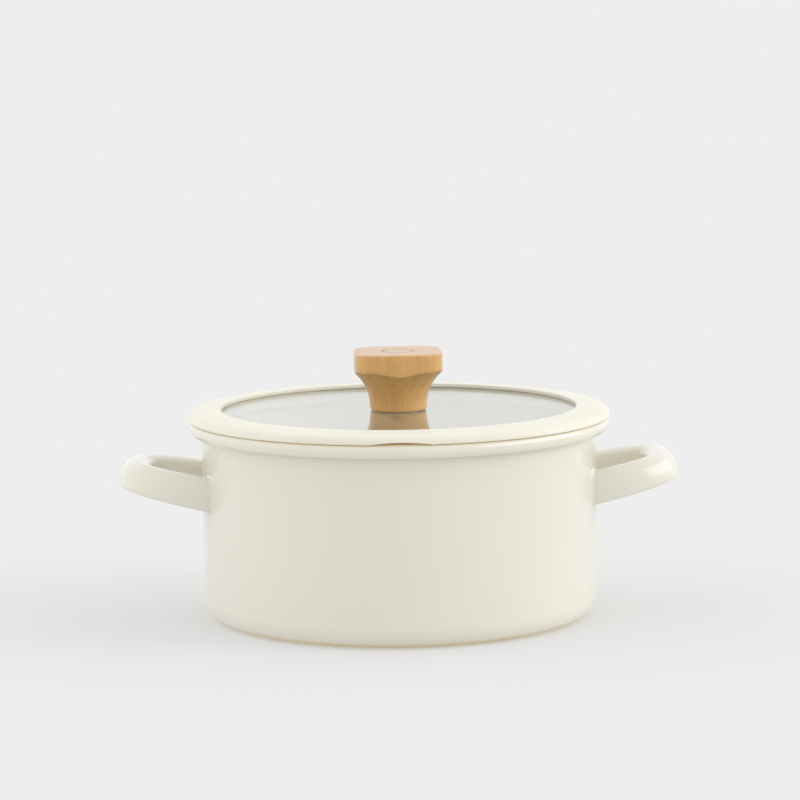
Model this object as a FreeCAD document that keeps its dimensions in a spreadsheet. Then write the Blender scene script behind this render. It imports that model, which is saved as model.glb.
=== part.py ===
import FreeCAD, Part
import math
import os
import re
import Sketcher

# Two-handled enamelled steel pot with a flat glass lid, a silicone lid ring and a beech knob.
# Frame: millimetres, +Z up, origin on the table under the middle of the pot, handles along X,
# steam arch of the lid towards -Y.

DIMENSIONS = [
    # pot shell
    ("wall_outer", 101.0),       # outer radius of the straight wall
    ("sheet", 1.3),              # enamelled steel sheet
    ("corner", 14.0),            # outer radius where the wall turns into the base
    ("foot_inner", 80.0),        # inner radius of the flat ring the pot stands on
    ("dish", 0.8),               # how far the middle of the base is raised
    ("dish_run", 2.4),           # width of the slope up to it
    ("swage_start", 88.0),       # height where the wall starts to flare towards the rim
    ("swage", 0.6),              # how far the flare moves the sheet outwards
    ("curl", 3.9),               # outer radius of the rolled rim
    ("rim_top", 102.3),          # height of the rolled rim
    # handles
    ("handle_foot", 59.6),       # height of a handle's lower edge at the wall
    ("handle_tilt", 10.9),       # upward tilt of the loop, degrees
    ("handle_reach", 44.0),      # from the wall to the tip, along the handle
    ("handle_root", 12.0),       # how far the pressing runs in before it is cut to the wall
    ("handle_half", 34.6),       # half width over the legs at the root
    ("leg_splay", 4.0),          # angle of each leg to the middle line, degrees
    ("loop_corner", 21.0),       # outer radius of the loop's corners
    ("bow_radius", 52.0),        # outer radius of the gently bowed end
    ("channel_width", 13.4),     # width of the pressed channel
    ("channel_height", 16.6),    # height of the pressed channel at the wall
    ("crown", 4.2),              # outer radius of the channel's top on the finger side
    ("shoulder", 9.0),           # outer radius of the channel's top on the outside
    ("handle_sheet", 1.4),       # enamelled sheet of the handle
    ("finger_edge", 1.2),        # the finger side stops this much above the outer edge
    ("foot_rise", 2.0),          # how much shorter the channel is at the tip
    # lid glass and silicone ring
    ("glass_bottom", 100.7),
    ("glass", 4.0),              # glass thickness
    ("glass_edge", 98.2),        # glass radius
    ("glass_hole", 5.2),         # radius of the centre hole
    ("pencil", 0.4),             # rounding of the glass edges
    ("ring_inner", 90.75),       # inner radius of the ring's top lip
    ("ring_outer", 107.6),       # outer radius of the ring
    ("lip", 1.5),                # height of the lip's upright inner face above the glass
    ("lip_round", 0.7),
    ("crown_run", 13.2),         # width of the gently domed top
    ("crown_drop", 1.3),         # fall of the domed top towards the outside
    ("ring_side", 3.7),          # radius of the ring's outer side
    ("edge_round", 0.4),         # rounding of the ring's lower edge
    ("ring_base", 101.6),        # lower edge of the ring's outer side
    ("seat_gap", 0.35),          # room between the ring and the rolled rim
    ("under_lip", 92.2),         # inner radius of the lip under the glass
    ("under_lip_height", 1.6),
    ("skirt_gap", 0.4),          # room between the skirt and the pot wall
    ("skirt", 2.4),              # skirt thickness
    ("skirt_bottom", 93.2),
    ("vent_width", 31.0),        # steam arch
    ("vent_height", 1.2),
    ("vent_turn", -2.0),         # direction of the steam arch, degrees from -Y
    ("seat_start", 50.0),        # where the seat on the rolled rim starts and ends, degrees
    ("seat_end", 150.0),         # round the roll's section, from the outside
    # knob
    ("seal", 0.3),               # silicone disc between the knob and the glass
    ("seal_radius", 11.0),
    ("knob_foot", 14.2),         # radius of the knob's foot
    ("knob_chamfer", 0.5),
    ("cove", 23.0),              # radius of the hollow curve under the knob's head
    ("cove_start", 2.0),         # straight height under the cove
    ("ledge", 20.75),            # height of the head's lower face above the glass
    ("knob_height", 30.2),       # height of the knob's top above the glass
    ("knob_flare", 0.3),         # how much the foot widens up to the cove
    ("blank_radius", 29.0),      # radius the head is turned to, before squaring
    ("head_width", 44.2),        # width of the squared head
    ("head_corner", 12.0),       # its corner radius
    ("head_edge", 0.7),          # rounding of the head's edges
    ("knob_turn", 0.5),          # how far the squared head is turned from the handles, degrees
    ("insert_bore", 4.0),        # radius of the hole for the threaded insert
    ("insert_depth", 14.0),
    ("insert_length", 12.0),
    ("insert_recess", 0.2),      # how far the insert sits above the knob's lower face
    ("insert_chamfer", 0.5),
    ("insert_groove", 0.6),      # depth of the groove round the insert's middle
    ("insert_groove_half", 0.9),  # half the width of the groove's floor
    ("thread_gap", 0.05),        # room between the screw and the insert
    # fastening under the glass
    ("screw", 2.45),             # M5
    ("screw_length", 16.0),
    ("screw_head", 4.8),
    ("screw_head_height", 3.4),
    ("screw_head_rim", 0.4),     # upright rim of the button head
    ("dome_flatness", 1.25),     # radius of the head's dome over that of a full cap
    ("screw_chamfer", 0.6),
    ("socket", 1.75),            # corner radius of the hexagon socket
    ("socket_depth", 1.8),
    ("washer_radius", 9.0),
    ("washer", 1.0),
    ("washer_slope", 0.8),       # width and height of the washer's sloping edge
    ("washer_slope_height", 0.5),
    ("gasket_radius", 10.2),
    ("gasket", 1.5),
    ("gasket_round", 0.4),
    ("collar", 4.6),             # outer radius of the gasket's collar through the glass
    ("collar_height", 3.6),
    ("screw_hole", 2.7),         # radius of the hole in washer, gasket and seal
    # cutting outlines
    ("spare", 10.0),             # how far a cutting outline runs past the piece
]

doc = FreeCAD.newDocument("Pot")
sizes = doc.addObject("Spreadsheet::Sheet", "Sizes")
for row, (alias, value) in enumerate(DIMENSIONS, start=1):
    sizes.set("A%d" % row, alias)
    sizes.set("B%d" % row, str(value))
    sizes.setAlias("B%d" % row, alias)
doc.recompute()
ALIASES = {alias for alias, _ in DIMENSIONS}


def bound(text):
    """The expression with every driving dimension named in the sheet."""
    return re.sub(r"[a-z_]+", lambda word: "Sizes." + word.group()
                  if word.group() in ALIASES else word.group(), text)


def number(text):
    """The present value of an expression."""
    value = sizes.evalExpression(text)
    return float(getattr(value, "Value", value))


def new_body(label):
    body = doc.addObject("PartDesign::Body", label)
    body.Label = label
    return body


def new_sketch(body, name, role, offset=None):
    """A sketch on one of the body's own origin planes, moved along the plane's normal."""
    plane = [item for item in body.Origin.OriginFeatures if item.Role == role][0]
    sketch = body.newObject("Sketcher::SketchObject", name)
    sketch.AttachmentSupport = [(plane, "")]
    sketch.MapMode = "FlatFace"
    if offset:
        sketch.setExpression("AttachmentOffset.Base.z", bound(offset))
    return sketch


def pin(sketch, line, end, x_text, y_text):
    """Holds one end of a line or arc at a place given by two expressions."""
    for kind, text, axis in (("DistanceX", x_text, -2), ("DistanceY", y_text, -1)):
        if text == "0":
            sketch.addConstraint(Sketcher.Constraint("PointOnObject", line, end, axis))
        else:
            at = sketch.addConstraint(Sketcher.Constraint(kind, -1, 1, line, end, number(text)))
            sketch.setExpression("Constraints[%d]" % at, bound(text))


def arc_between(start, end, radius, turn):
    """The arc of less than half a circle from start to end; turn is +1 for anticlockwise."""
    chord = end - start
    rise = math.sqrt(max(radius ** 2 - (chord.Length / 2) ** 2, 0))
    side = FreeCAD.Vector(-chord.y, chord.x, 0).normalize() * (rise * turn)
    centre = (start + end) * 0.5 + side
    first = math.atan2(start.y - centre.y, start.x - centre.x)
    last = math.atan2(end.y - centre.y, end.x - centre.x)
    whole = Part.Circle(centre, FreeCAD.Vector(0, 0, 1), radius)
    if turn > 0:
        return Part.ArcOfCircle(whole, first, last)
    return Part.ArcOfCircle(whole, last, first)


def draw(sketch, start, steps):
    """Draws a closed outline: a step is (x, y) for a line or (x, y, radius, turn) for an arc."""
    ends = []
    here = start
    for step in steps:
        a = FreeCAD.Vector(number(here[0]), number(here[1]), 0)
        b = FreeCAD.Vector(number(step[0]), number(step[1]), 0)
        if len(step) == 2:
            index = sketch.addGeometry(Part.LineSegment(a, b))
            ends.append((index, 1, 2))
        else:
            index = sketch.addGeometry(arc_between(a, b, number(step[2]), step[3]))
            ends.append((index, 1, 2) if step[3] > 0 else (index, 2, 1))
        here = step
    for (one, _, tail), (two, head, _) in zip(ends, ends[1:] + ends[:1]):
        sketch.addConstraint(Sketcher.Constraint("Coincident", one, tail, two, head))
    for (index, _, tail), step in zip(ends, steps):
        pin(sketch, index, tail, step[0], step[1])
        if len(step) == 4:
            at = sketch.addConstraint(Sketcher.Constraint("Radius", index, number(step[2])))
            sketch.setExpression("Constraints[%d]" % at, bound(step[2]))


def circle(sketch, radius):
    """A circle about the sketch's origin."""
    index = sketch.addGeometry(Part.Circle(FreeCAD.Vector(), FreeCAD.Vector(0, 0, 1),
                                           number(radius)))
    sketch.addConstraint(Sketcher.Constraint("Coincident", index, 3, -1, 1))
    at = sketch.addConstraint(Sketcher.Constraint("Radius", index, number(radius)))
    sketch.setExpression("Constraints[%d]" % at, bound(radius))


def revolve(body, name, start, steps):
    """A piece turned about Z from an outline of radii and heights."""
    sketch = new_sketch(body, name + "_outline", "XZ_Plane")
    draw(sketch, start, steps)
    feature = body.newObject("PartDesign::Revolution", name)
    feature.Profile = sketch
    feature.ReferenceAxis = (sketch, ["V_Axis"])
    feature.Angle = 360
    body.Tip = feature
    return feature


def cut_away(body, feature):
    """Checks that a pocket or groove really removed material."""
    doc.recompute()
    before = feature.BaseFeature.Shape.Volume
    if not feature.Shape.Volume < before - 1e-3:
        raise RuntimeError("%s cuts nothing" % feature.Name)
    body.Tip = feature


def turn_about_z(body, angle):
    """Turns a body about the pot's axis by an angle in degrees."""
    body.Placement = FreeCAD.Placement(FreeCAD.Vector(), FreeCAD.Vector(0, 0, 1), number(angle))
    body.setExpression("Placement.Rotation.Angle", bound(angle + " * 1 deg"))


def polar(centre_x, centre_y, radius, degrees):
    """The x and y expressions of a point on a circle."""
    return ("%s + %s * cos(%s * 1 deg)" % (centre_x, radius, degrees),
            "%s + %s * sin(%s * 1 deg)" % (centre_y, radius, degrees))


# Places worked out from the driving dimensions, used by more than one piece.
WALL_INNER = "wall_outer - sheet"
CURL_R = "wall_outer + swage - sheet + curl"      # middle of the rolled rim's section
CURL_Z = "(rim_top - curl)"
HOLLOW = "(curl - sheet)"                         # radius of the hollow inside the roll
CURL_END = -126                                   # where the roll stops short of the wall, degrees
GLASS_TOP = "(glass_bottom + glass)"
UNDER_GASKET = "glass_bottom - gasket"
UNDER_WASHER = "glass_bottom - gasket - washer"


def make_pot_body():
    """The drawn shell: base with a raised middle, straight wall, slight flare and rolled rim."""
    body = new_body("pot_body")
    flare = "(((%s - swage_start) ^ 2 + swage ^ 2) / (2 * swage))" % CURL_Z
    roll_end_in = polar(CURL_R, CURL_Z, HOLLOW, CURL_END)
    roll_end_out = polar(CURL_R, CURL_Z, "curl", CURL_END)
    revolve(body, "shell", ("0", "dish"), [
        # underside, from the middle to the wall
        ("foot_inner - dish_run", "dish"),
        ("foot_inner", "0"),
        ("wall_outer - corner", "0"),
        ("wall_outer", "corner", "corner", 1),
        ("wall_outer", "swage_start"),
        ("wall_outer + swage", CURL_Z, flare, -1),
        # inside of the roll, over the top and back to the wall
        (CURL_R, CURL_Z + " + " + HOLLOW, HOLLOW, -1),
        (CURL_R + " + " + HOLLOW, CURL_Z, HOLLOW, -1),
        (CURL_R, CURL_Z + " - " + HOLLOW, HOLLOW, -1),
        roll_end_in + (HOLLOW, -1),
        roll_end_out,
        # outside of the roll
        (CURL_R, CURL_Z + " - curl", "curl", 1),
        (CURL_R + " + curl", CURL_Z, "curl", 1),
        (CURL_R, "rim_top", "curl", 1),
        (CURL_R + " - curl", CURL_Z, "curl", 1),
        # inside of the pot, from the rim to the middle of the base
        (WALL_INNER, "swage_start", flare, 1),
        (WALL_INNER, "corner"),
        ("wall_outer - corner", "sheet", "corner - sheet", -1),
        ("foot_inner", "sheet"),
        ("foot_inner - dish_run", "sheet + dish"),
        ("0", "sheet + dish"),
        ("0", "dish"),
    ])
    return body


def draw_loop(sketch):
    """The handle's plan, along its outer face: two splayed legs, two corners and a bowed end."""
    root, half, reach = number("handle_root"), number("handle_half"), number("handle_reach")
    corner, bow = number("loop_corner"), number("bow_radius")
    splay = math.radians(number("leg_splay"))
    # corner centre: at the corner's radius from the leg, and inside the bow by the same radius
    bow_x = reach - bow
    low, high = 0.0, reach
    for _ in range(60):
        centre_x = (low + high) / 2
        centre_y = half - (corner + (centre_x + root) * math.sin(splay)) / math.cos(splay)
        if math.hypot(centre_x - bow_x, centre_y) < bow - corner:
            low = centre_x
        else:
            high = centre_x
    up = FreeCAD.Vector(0, 0, 1)
    spread = math.atan2(centre_y, centre_x - bow_x)
    leg_end = FreeCAD.Vector(centre_x + corner * math.sin(splay),
                             -centre_y - corner * math.cos(splay), 0)
    start = FreeCAD.Vector(-root, -half, 0)
    quarter = math.pi / 2
    lower = sketch.addGeometry(Part.LineSegment(start, leg_end))
    near = sketch.addGeometry(Part.ArcOfCircle(
        Part.Circle(FreeCAD.Vector(centre_x, -centre_y, 0), up, corner),
        splay - quarter, -spread))
    end = sketch.addGeometry(Part.ArcOfCircle(
        Part.Circle(FreeCAD.Vector(bow_x, 0, 0), up, bow), -spread, spread))
    far = sketch.addGeometry(Part.ArcOfCircle(
        Part.Circle(FreeCAD.Vector(centre_x, centre_y, 0), up, corner),
        spread, quarter - splay))
    upper = sketch.addGeometry(Part.LineSegment(FreeCAD.Vector(leg_end.x, -leg_end.y, 0),
                                                FreeCAD.Vector(-root, half, 0)))
    for one, two in ((lower, near), (near, end), (end, far), (far, upper)):
        sketch.addConstraint(Sketcher.Constraint("Tangent", one, 2, two, 1))
    pin(sketch, lower, 1, "-handle_root", "-handle_half")
    pin(sketch, upper, 2, "-handle_root", "handle_half")
    pin(sketch, end, 3, "handle_reach - bow_radius", "0")
    for arc, radius in ((near, "loop_corner"), (end, "bow_radius"), (far, "loop_corner")):
        at = sketch.addConstraint(Sketcher.Constraint("Radius", arc, number(radius)))
        sketch.setExpression("Constraints[%d]" % at, bound(radius))
    for line, text in ((lower, "leg_splay * 1 deg"), (upper, "180 deg - leg_splay * 1 deg")):
        at = sketch.addConstraint(Sketcher.Constraint("Angle", line, math.radians(number(text))))
        sketch.setExpression("Constraints[%d]" % at, bound(text))


def draw_channel(sketch):
    """The handle's section at its root: an upside-down channel of sheet, open below."""
    face = "-handle_half"
    finger = "channel_width - handle_half"
    top = "channel_height"
    draw(sketch, (face, "0"), [
        (face, top + " - shoulder"),
        (face + " + shoulder", top, "shoulder", -1),
        (finger + " - crown", top),
        (finger, top + " - crown", "crown", -1),
        (finger, "finger_edge"),
        (finger + " - handle_sheet", "finger_edge"),
        (finger + " - handle_sheet", top + " - crown"),
        (finger + " - crown", top + " - handle_sheet", "crown - handle_sheet", 1),
        (face + " + shoulder", top + " - handle_sheet"),
        (face + " + handle_sheet", top + " - shoulder", "shoulder - handle_sheet", 1),
        (face + " + handle_sheet", "0"),
        (face, "0"),
    ])


def make_handle(label, side, wall):
    """A pressed loop handle, made level in its own frame, tilted up, and cut to the wall."""
    body = new_body(label + "_pressing")
    plan = new_sketch(body, label + "_plan", "XY_Plane")
    draw_loop(plan)
    section = new_sketch(body, label + "_section", "YZ_Plane", "-handle_root")
    draw_channel(section)
    doc.recompute()
    sweep = body.newObject("PartDesign::AdditivePipe", label + "_channel")
    sweep.Profile = section
    sweep.Spine = plan
    doc.recompute()
    trim = new_sketch(body, label + "_trim", "XZ_Plane")
    draw(trim, ("-handle_root - spare", "-spare"), [
        ("handle_reach + spare", "-spare"),
        ("handle_reach + spare", "foot_rise * (1 + spare / handle_reach)"),
        ("0", "0"),
        ("-handle_root - spare", "0"),
        ("-handle_root - spare", "-spare"),
    ])
    pocket = body.newObject("PartDesign::Pocket", label + "_foot_trim")
    pocket.Profile = trim
    pocket.SideType = "Symmetric"
    pocket.Type = "Length"
    pocket.setExpression("Length", bound("4 * handle_half"))
    cut_away(body, pocket)
    body.Placement = FreeCAD.Placement(
        FreeCAD.Vector(side * number("wall_outer"), 0, number("handle_foot")),
        FreeCAD.Rotation(FreeCAD.Vector(0, 0, 1), 0 if side > 0 else 180)
        * FreeCAD.Rotation(FreeCAD.Vector(0, 1, 0), -number("handle_tilt")))
    body.setExpression("Placement.Base.x", bound("%d * wall_outer" % side))
    body.setExpression("Placement.Base.z", bound("handle_foot"))
    handle = doc.addObject("Part::Cut", label)
    handle.Base = body
    handle.Tool = wall
    handle.Label = label
    return handle


def make_wall_tool():
    """The space inside the wall's outer surface, which the handles are cut back to."""
    wall = doc.addObject("Part::Cylinder", "wall_space")
    wall.setExpression("Radius", bound("wall_outer"))
    wall.setExpression("Height", bound("rim_top"))
    return wall


def named_edges(feature):
    """Every edge of a feature with the name that a fillet calls it by."""
    return [("Edge%d" % (index + 1), edge) for index, edge in enumerate(feature.Shape.Edges)]


def make_lid_glass():
    """The flat tempered disc with its centre hole and pencil-ground edges."""
    body = new_body("lid_glass")
    sketch = new_sketch(body, "glass_outline", "XY_Plane", "glass_bottom")
    circle(sketch, "glass_edge")
    circle(sketch, "glass_hole")
    disc = body.newObject("PartDesign::Pad", "disc")
    disc.Profile = sketch
    disc.setExpression("Length", bound("glass"))
    doc.recompute()
    ground = body.newObject("PartDesign::Fillet", "pencil_edge")
    rims = [name for name, edge in named_edges(disc) if edge.Closed and len(edge.Vertexes) == 1
            and isinstance(edge.Curve, Part.Circle)]
    ground.Base = (disc, rims)
    ground.setExpression("Radius", bound("pencil"))
    body.Tip = ground
    return body


def make_lid_ring():
    """The silicone ring: domed lip over the glass, seat on the rim, lip under the glass, skirt."""
    body = new_body("lid_ring")
    crest = GLASS_TOP + " + lip + lip_round"
    crown_end = ("ring_inner + lip_round + crown_run", crest + " - crown_drop")
    seat = "(curl + seat_gap)"
    skirt_outer = "(wall_outer - sheet - skirt_gap)"
    revolve(body, "ring", ("ring_inner", GLASS_TOP), [
        ("ring_inner", GLASS_TOP + " + lip"),
        ("ring_inner + lip_round", crest, "lip_round", -1),
        crown_end + ("(crown_run ^ 2 + crown_drop ^ 2) / (2 * crown_drop)", -1),
        ("ring_outer", "ring_base + edge_round", "ring_side", -1),
        ("ring_outer - edge_round", "ring_base", "edge_round", -1),
        polar(CURL_R, CURL_Z, seat, "seat_start"),
        polar(CURL_R, CURL_Z, seat, "((seat_start + seat_end) / 2)") + (seat, 1),
        polar(CURL_R, CURL_Z, seat, "seat_end") + (seat, 1),
        (skirt_outer, CURL_Z + " + lip_round"),
        (skirt_outer, "skirt_bottom + lip_round"),
        (skirt_outer + " - lip_round", "skirt_bottom", "lip_round", -1),
        (skirt_outer + " - skirt", "skirt_bottom"),
        (skirt_outer + " - skirt", "glass_bottom - under_lip_height"),
        ("under_lip", "glass_bottom - under_lip_height"),
        ("under_lip", "glass_bottom"),
        ("glass_edge", "glass_bottom"),
        ("glass_edge", GLASS_TOP),
        ("ring_inner", GLASS_TOP),
    ])
    arch = new_sketch(body, "vent_outline", "XZ_Plane", "%s - skirt - spare" % skirt_outer)
    half = "vent_width / 2"
    draw(arch, ("-" + half, "skirt_bottom - spare"), [
        (half, "skirt_bottom - spare"),
        (half, "ring_base"),
        ("-" + half, "ring_base", "((%s) ^ 2 + vent_height ^ 2) / (2 * vent_height)" % half, 1),
        ("-" + half, "skirt_bottom - spare"),
    ])
    vent = body.newObject("PartDesign::Pocket", "steam_arch")
    vent.Profile = arch
    vent.Type = "ThroughAll"
    vent.Reversed = True
    cut_away(body, vent)
    turn_about_z(body, "vent_turn")
    return body


def make_lid_knob():
    """The beech knob: turned foot and cove under a head squared with rounded corners."""
    body = new_body("lid_knob")
    foot = GLASS_TOP + " + seal"
    ledge = GLASS_TOP + " + ledge"
    top = GLASS_TOP + " + knob_height"
    neck = "(knob_foot + knob_flare)"
    cove_end = neck + " + cove - sqrt(cove ^ 2 - (ledge - cove_start) ^ 2)"
    revolve(body, "turned_blank", ("insert_bore", foot), [
        ("knob_foot - knob_chamfer", foot),
        ("knob_foot", foot + " + knob_chamfer"),
        (neck, GLASS_TOP + " + cove_start"),
        (cove_end, ledge, "cove", -1),
        ("blank_radius", ledge),
        ("blank_radius", top),
        ("0", top),
        ("0", foot + " + insert_depth"),
        ("insert_bore", foot + " + insert_depth"),
        ("insert_bore", foot),
    ])
    waste = new_sketch(body, "squaring_outline", "XY_Plane", top)
    half, flat = "head_width / 2", "(head_width / 2 - head_corner)"
    draw(waste, ("-" + flat, "-" + half), [
        (flat, "-" + half),
        (half, "-" + flat, "head_corner", 1),
        (half, flat),
        (flat, half, "head_corner", 1),
        ("-" + flat, half),
        ("-" + half, flat, "head_corner", 1),
        ("-" + half, "-" + flat),
        ("-" + flat, "-" + half, "head_corner", 1),
    ])
    circle(waste, "blank_radius + spare")
    squared = body.newObject("PartDesign::Pocket", "squared_head")
    squared.Profile = waste
    squared.Type = "Length"
    squared.setExpression("Length", bound("knob_height - cove_start"))
    cut_away(body, squared)
    eased = body.newObject("PartDesign::Fillet", "eased_edges")
    height = number(top)
    eased.Base = (squared, [name for name, edge in named_edges(squared)
                            if abs(edge.BoundBox.ZMin - height) < 0.01
                            and edge.BoundBox.ZLength < 0.01])
    eased.setExpression("Radius", bound("head_edge"))
    body.Tip = eased
    turn_about_z(body, "knob_turn")
    return body


def make_knob_insert():
    """The threaded brass insert, with a groove round its middle, pressed into the knob."""
    body = new_body("knob_insert")
    start = GLASS_TOP + " + seal + insert_recess"
    end = GLASS_TOP + " + seal + insert_length"
    middle = GLASS_TOP + " + seal + insert_length / 2"
    bore = "screw + thread_gap"
    floor = "insert_bore - insert_groove"
    revolve(body, "insert", (bore, start), [
        ("insert_bore - insert_chamfer", start),
        ("insert_bore", start + " + insert_chamfer"),
        ("insert_bore", middle + " - insert_groove_half - insert_groove"),
        (floor, middle + " - insert_groove_half"),
        (floor, middle + " + insert_groove_half"),
        ("insert_bore", middle + " + insert_groove_half + insert_groove"),
        ("insert_bore", end + " - insert_chamfer"),
        ("insert_bore - insert_chamfer", end),
        (bore, end),
        (bore, start),
    ])
    return body


def make_knob_screw():
    """The button-head machine screw with its hexagon socket facing down into the pot."""
    body = new_body("knob_screw")
    under = UNDER_WASHER
    head = UNDER_WASHER + " - screw_head_height"
    tip = UNDER_WASHER + " + screw_length"
    dome = "((screw_head ^ 2 + screw_head_height ^ 2) / (2 * screw_head_height))"
    revolve(body, "button_head_screw", ("0", head), [
        ("screw_head", under + " - screw_head_rim", "dome_flatness * " + dome, 1),
        ("screw_head", under),
        ("screw", under),
        ("screw", tip + " - screw_chamfer"),
        ("screw - screw_chamfer", tip),
        ("0", tip),
        ("0", head),
    ])
    socket = new_sketch(body, "socket_outline", "XY_Plane", head)
    corners = [polar("0", "0", "socket", 60 * step) for step in range(6)]
    draw(socket, corners[-1], corners)
    recess = body.newObject("PartDesign::Pocket", "socket_recess")
    recess.Profile = socket
    recess.Type = "Length"
    recess.setExpression("Length", bound("socket_depth"))
    recess.Reversed = True
    cut_away(body, recess)
    return body


def make_cup_washer():
    """The steel washer under the screw's head, its lower edge eased."""
    body = new_body("cup_washer")
    revolve(body, "washer", ("screw_hole", UNDER_WASHER), [
        ("washer_radius - washer_slope", UNDER_WASHER),
        ("washer_radius", UNDER_WASHER + " + washer_slope_height"),
        ("washer_radius", UNDER_GASKET),
        ("screw_hole", UNDER_GASKET),
        ("screw_hole", UNDER_WASHER),
    ])
    return body


def make_screw_gasket():
    """The silicone gasket under the glass, with a collar that lines the glass hole."""
    body = new_body("screw_gasket")
    revolve(body, "gasket", ("screw_hole", UNDER_GASKET), [
        ("gasket_radius - gasket_round", UNDER_GASKET),
        ("gasket_radius", UNDER_GASKET + " + gasket_round", "gasket_round", 1),
        ("gasket_radius", "glass_bottom"),
        ("collar", "glass_bottom"),
        ("collar", "glass_bottom + collar_height"),
        ("screw_hole", "glass_bottom + collar_height"),
        ("screw_hole", UNDER_GASKET),
    ])
    return body


def make_knob_seal():
    """The thin silicone disc that keeps the wood off the glass."""
    body = new_body("knob_seal")
    revolve(body, "seal_disc", ("screw_hole", GLASS_TOP), [
        ("seal_radius", GLASS_TOP),
        ("seal_radius", GLASS_TOP + " + seal"),
        ("screw_hole", GLASS_TOP + " + seal"),
        ("screw_hole", GLASS_TOP),
    ])
    return body


def main():
    wall = make_wall_tool()
    pieces = [
        make_pot_body(),
        make_handle("left_handle", -1, wall),
        make_handle("right_handle", 1, wall),
        make_lid_glass(),
        make_lid_ring(),
        make_lid_knob(),
        make_knob_insert(),
        make_knob_screw(),
        make_cup_washer(),
        make_screw_gasket(),
        make_knob_seal(),
    ]
    doc.recompute()
    for item in doc.Objects:
        if "Invalid" in item.State or "Error" in item.State:
            raise RuntimeError("%s did not build: %s" % (item.Label, item.State))
    for piece in pieces:
        shape = piece.Shape
        if shape.isNull() or not shape.isValid() or len(shape.Solids) != 1:
            raise RuntimeError("%s is not one valid solid" % piece.Label)
        print("%-13s %9.1f mm3  %s" % (piece.Label, shape.Volume, shape.BoundBox))
    os.makedirs("parts", exist_ok=True)
    for piece in pieces:
        piece.Shape.exportStep("parts/%s.step" % piece.Label)


main()
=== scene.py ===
"""Looks for an enamelled pot with two loop handles and a flat glass lid.

The lid's glass sits in a silicone ring, and its knob is of beech. Every piece is built round the
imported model's own boxes. Lengths are in metres. Angles are in radians, except where a comment
or a call to arc gives degrees. The pot's axis is Z, and the handles lie along X.
"""

import math

import bmesh
import bpy
import numpy as np
from mathutils import Matrix, Vector


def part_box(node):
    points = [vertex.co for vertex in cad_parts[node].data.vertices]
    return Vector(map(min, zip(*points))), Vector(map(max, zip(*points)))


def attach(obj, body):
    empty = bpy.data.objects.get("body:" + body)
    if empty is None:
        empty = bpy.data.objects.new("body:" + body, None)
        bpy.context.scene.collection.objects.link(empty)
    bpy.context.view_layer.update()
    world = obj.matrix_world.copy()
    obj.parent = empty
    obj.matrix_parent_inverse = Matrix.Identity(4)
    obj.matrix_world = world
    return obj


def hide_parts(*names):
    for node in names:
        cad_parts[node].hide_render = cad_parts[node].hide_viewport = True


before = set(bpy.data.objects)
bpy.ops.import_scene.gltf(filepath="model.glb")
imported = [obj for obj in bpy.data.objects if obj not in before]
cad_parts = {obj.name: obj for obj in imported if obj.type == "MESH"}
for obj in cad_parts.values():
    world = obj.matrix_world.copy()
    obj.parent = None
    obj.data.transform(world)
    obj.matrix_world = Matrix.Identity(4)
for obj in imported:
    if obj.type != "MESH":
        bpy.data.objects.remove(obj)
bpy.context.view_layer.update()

MM = 0.001

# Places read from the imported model.
POT_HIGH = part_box("pot_body")[1]
GLASS_LOW, GLASS_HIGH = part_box("lid_glass")
RING_LOW, RING_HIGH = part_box("lid_ring")
KNOB_LOW, KNOB_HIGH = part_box("lid_knob")
HANDLE_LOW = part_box("right_handle")[0]

# Pot shell.
SHEET = 1.3 * MM                 # enamelled sheet of the pot
SWAGE = 0.6 * MM                 # how far the wall flares under the rim
SWAGE_HEIGHT = 10.4 * MM         # over what height it does so
CURL = 3.9 * MM                  # outer radius of the rolled rim
CURL_R = POT_HIGH.x - CURL       # middle of the roll's section
CURL_Z = POT_HIGH.z - CURL
CURL_END = -126                  # where the roll stops short of the wall, degrees
WALL = CURL_R - CURL + SHEET - SWAGE
CORNER = 14 * MM                 # outer radius between wall and base
FOOT_INNER = 80 * MM             # inner edge of the flat ring that the pot stands on
DISH = 0.8 * MM                  # how far the middle of the base is raised
DISH_RUN = 2.4 * MM              # width of the slope between the two
BASE_ROUND = 3 * MM              # soft bends at both ends of that slope

# Handles, in a level frame of their own: x out from the wall, y across, z up.
HANDLE_FOOT = HANDLE_LOW.z + 0.9 * MM   # height of the lower edge at the wall
HANDLE_TILT = math.radians(13.5)
HANDLE_REACH = 44 * MM           # from the wall to the tip
LOOP_CENTRE = -6 * MM            # middle of the loop's outline, inside the wall
LOOP_HALF = 34 * MM              # half the loop's width
LOOP_SQUARENESS = 2.8            # exponent of the loop's superellipse
TIP_WIDTH, ROOT_WIDTH = 15 * MM, 12 * MM
ROOT_HEIGHT = 16.8 * MM
TIP_SHARE = 0.88                 # height at the tip over that at the root
TIP_RIDGE, ROOT_RIDGE = 0.4, 0.75  # where the section is highest, from the finger side
LOWER_CURL = 2.5 * MM            # radius of the outer lower edge
LOWER_FLAT = 1.5 * MM            # straight part above it
SHOULDER_SQUARENESS = 2.4        # the same for the section's outer shoulder
FINGER_ROUND = 4 * MM            # radius over the finger side
FINGER_EDGE = 1.0 * MM           # the finger side stops this high
HANDLE_SHEET = 1.5 * MM
ENAMEL_FILLET = 1.8 * MM         # enamel that fills the corner between handle and wall

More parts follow.
